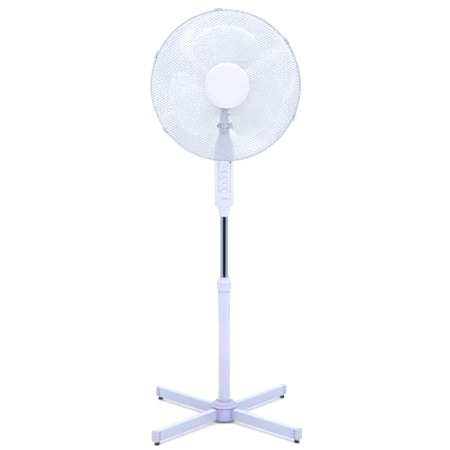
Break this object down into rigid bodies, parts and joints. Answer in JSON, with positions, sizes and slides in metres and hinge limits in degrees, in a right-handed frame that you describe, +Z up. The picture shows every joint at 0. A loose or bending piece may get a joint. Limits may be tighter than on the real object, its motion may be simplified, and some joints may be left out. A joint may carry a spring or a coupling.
{
  "type": "pedestal fan",
  "caption": "Pedestal fan on a cross base: telescopic mast, push buttons, tilting and swinging motor head, wire guard and broad round-tipped blades.",
  "frame": {"origin": "on the floor, on the column's axis at the centre of the cross base", "axes": "+Z up along the column, the head faces -Y, +X is to the head's left seen from behind and to the viewer's right seen from the front"},
  "size_m": [0.4318, 0.4318, 1.2277],
  "materials": {
    "leg_paint": "gloss",
    "column_paint": "gloss",
    "base_plastic": "moulded",
    "cap_plastic": "moulded",
    "foot_rubber": "matt",
    "nut_plastic": "ribbed",
    "mast_chrome": "mirror",
    "housing_plastic": "satin",
    "button_plastic": "satin",
    "knob_plastic": "satin",
    "neck_plastic": "satin",
    "motor_plastic": "satin",
    "guard_wire": "powder coat",
    "rim_plastic": "satin",
    "badge_plastic": "satin",
    "blade_plastic": "gloss",
    "plated_steel": "zinc plated",
    "cast_alloy": "as cast",
    "copper_wire": "enamelled",
    "bearing_bronze": "sintered",
    "nylon": "natural",
    "grey_plastic": "moulded"
  },
  "bodies": {
    "base": {"leg_front_left": "leg_paint", "leg_cap_front_left": "cap_plastic", "foot_front_left": "foot_rubber", "leg_front_right": "leg_paint", "leg_cap_front_right": "cap_plastic", "foot_front_right": "foot_rubber", "leg_rear_right": "leg_paint", "leg_cap_rear_right": "cap_plastic", "foot_rear_right": "foot_rubber", "leg_rear_left": "leg_paint", "leg_cap_rear_left": "cap_plastic", "foot_rear_left": "foot_rubber", "base_hub": "base_plastic", "base_cover": "base_plastic", "base_bolt": "plated_steel", "column_tube": "column_paint", "column_bush": "nylon"},
    "clamp_nut": {"clamp_nut": "nut_plastic"},
    "mast_guide": {"mast_guide_bush": "nylon"},
    "mast": {"mast_tube": "mast_chrome", "mast_socket": "nut_plastic", "housing_front": "housing_plastic", "housing_rear": "housing_plastic", "switch_block": "grey_plastic", "capacitor": "grey_plastic", "cord_gland": "knob_plastic", "tilt_yoke": "neck_plastic", "tilt_bolt": "plated_steel"},
    "button_off": {"button_off": "button_plastic"},
    "button_low": {"button_low": "button_plastic"},
    "button_medium": {"button_medium": "button_plastic"},
    "button_high": {"button_high": "button_plastic"},
    "tilt_knob": {"tilt_knob": "knob_plastic"},
    "neck": {"neck_bracket": "neck_plastic"},
    "head": {"gearbox_case": "cast_alloy", "motor_front_cover": "motor_plastic", "motor_rear_cover": "motor_plastic", "bearing_front": "bearing_bronze", "bearing_rear": "bearing_bronze", "stator_core": "plated_steel", "stator_winding": "copper_wire", "guard_rear": "guard_wire", "guard_nut": "knob_plastic", "guard_front": "guard_wire", "guard_badge": "badge_plastic", "guard_rim": "rim_plastic", "guard_screw": "plated_steel"},
    "rotor": {"motor_shaft": "plated_steel", "rotor_core": "plated_steel", "fan_blade": "blade_plastic", "blade_nut": "knob_plastic"},
    "worm_wheel": {"worm_wheel": "nylon"},
    "clutch_knob": {"clutch_knob": "knob_plastic"},
    "crank_gear": {"crank_gear": "nylon"},
    "crank_link": {"crank_link": "plated_steel"},
    "clip_upper_right": {"guard_clip_upper_right": "rim_plastic"},
    "clip_top": {"guard_clip_top": "rim_plastic"},
    "clip_upper_left": {"guard_clip_upper_left": "rim_plastic"},
    "clip_lower_left": {"guard_clip_lower_left": "rim_plastic"},
    "clip_lower_right": {"guard_clip_lower_right": "rim_plastic"}
  },
  "joints": [
    {"name": "clamp_nut_turn", "type": "hinge", "parent": "base", "child": "clamp_nut", "pos_m": [0, 0, 0.42], "axis": [0, 0, 1], "range_deg": [0, 180]},
    {"name": "mast_slide", "type": "slide", "parent": "base", "child": "mast_guide", "axis": [0, 0, 1], "range_m": [-0.175, 0.06]},
    {"name": "mast_turn", "type": "hinge", "parent": "mast_guide", "child": "mast", "pos_m": [0, 0, 0.3], "axis": [0, 0, 1], "range_deg": [-180, 180]},
    {"name": "button_off_press", "type": "slide", "parent": "mast", "child": "button_off", "axis": [0, 1, 0], "range_m": [0, 0.003], "stiffness_N_per_m": 300},
    {"name": "button_low_press", "type": "slide", "parent": "mast", "child": "button_low", "axis": [0, 1, 0], "range_m": [0, 0.003], "stiffness_N_per_m": 300},
    {"name": "button_medium_press", "type": "slide", "parent": "mast", "child": "button_medium", "axis": [0, 1, 0], "range_m": [0, 0.003], "stiffness_N_per_m": 300},
    {"name": "button_high_press", "type": "slide", "parent": "mast", "child": "button_high", "axis": [0, 1, 0], "range_m": [0, 0.003], "stiffness_N_per_m": 300},
    {"name": "tilt_knob_turn", "type": "hinge", "parent": "mast", "child": "tilt_knob", "pos_m": [0.02, 0, 0.897], "axis": [1, 0, 0], "range_deg": [0, 270]},
    {"name": "head_tilt", "type": "hinge", "parent": "mast", "child": "neck", "pos_m": [0, 0, 0.897], "axis": [1, 0, 0], "range_deg": [-20, 15]},
    {"name": "head_swing", "type": "hinge", "parent": "neck", "child": "head", "pos_m": [0, 0, 0.93], "axis": [0, 0, 1], "range_deg": [-38, 38]},
    {"name": "crank_link_turn", "type": "hinge", "parent": "neck", "child": "crank_link", "pos_m": [0.022, 0, 0.941], "axis": [0, 0, 1], "range_deg": [-25, 42]},
    {"name": "blade_spin", "type": "hinge", "parent": "head", "child": "rotor", "pos_m": [0, -0.1, 1.01], "axis": [0, 1, 0], "continuous": true},
    {"name": "worm_wheel_spin", "type": "hinge", "parent": "head", "child": "worm_wheel", "pos_m": [0.01908, 0.062, 1.01], "axis": [0, 0, 1], "continuous": true},
    {"name": "crank_gear_spin", "type": "hinge", "parent": "head", "child": "crank_gear", "pos_m": [0, 0.056, 0.9457], "axis": [0, 0, 1], "continuous": true},
    {"name": "clutch_knob_pull", "type": "slide", "parent": "head", "child": "clutch_knob", "axis": [0, 0, 1], "range_m": [0, 0.006]},
    {"name": "clip_upper_right_open", "type": "hinge", "parent": "head", "child": "clip_upper_right", "pos_m": [0.17459, -0.1135, 1.13684], "axis": [0.5878, 0, -0.809], "range_deg": [0, 70]},
    {"name": "clip_top_open", "type": "hinge", "parent": "head", "child": "clip_top", "pos_m": [-0.02256, -0.1135, 1.22462], "axis": [0.9945, 0, 0.1045], "range_deg": [0, 70]},
    {"name": "clip_upper_left_open", "type": "hinge", "parent": "head", "child": "clip_upper_left", "pos_m": [-0.19714, -0.1135, 1.09777], "axis": [0.4067, 0, 0.9135], "range_deg": [0, 70]},
    {"name": "clip_lower_left_open", "type": "hinge", "parent": "head", "child": "clip_lower_left", "pos_m": [-0.17459, -0.1135, 0.88316], "axis": [-0.5878, 0, 0.809], "range_deg": [0, 70]},
    {"name": "clip_lower_right_open", "type": "hinge", "parent": "head", "child": "clip_lower_right", "pos_m": [0.19714, -0.1135, 0.92223], "axis": [-0.4067, 0, -0.9135], "range_deg": [0, 70]}
  ],
  "couplings": [
    {"joint": "worm_wheel_spin", "follows": "blade_spin", "ratio": 0.041667},
    {"joint": "crank_gear_spin", "follows": "blade_spin", "ratio": -0.010417}
  ]
}
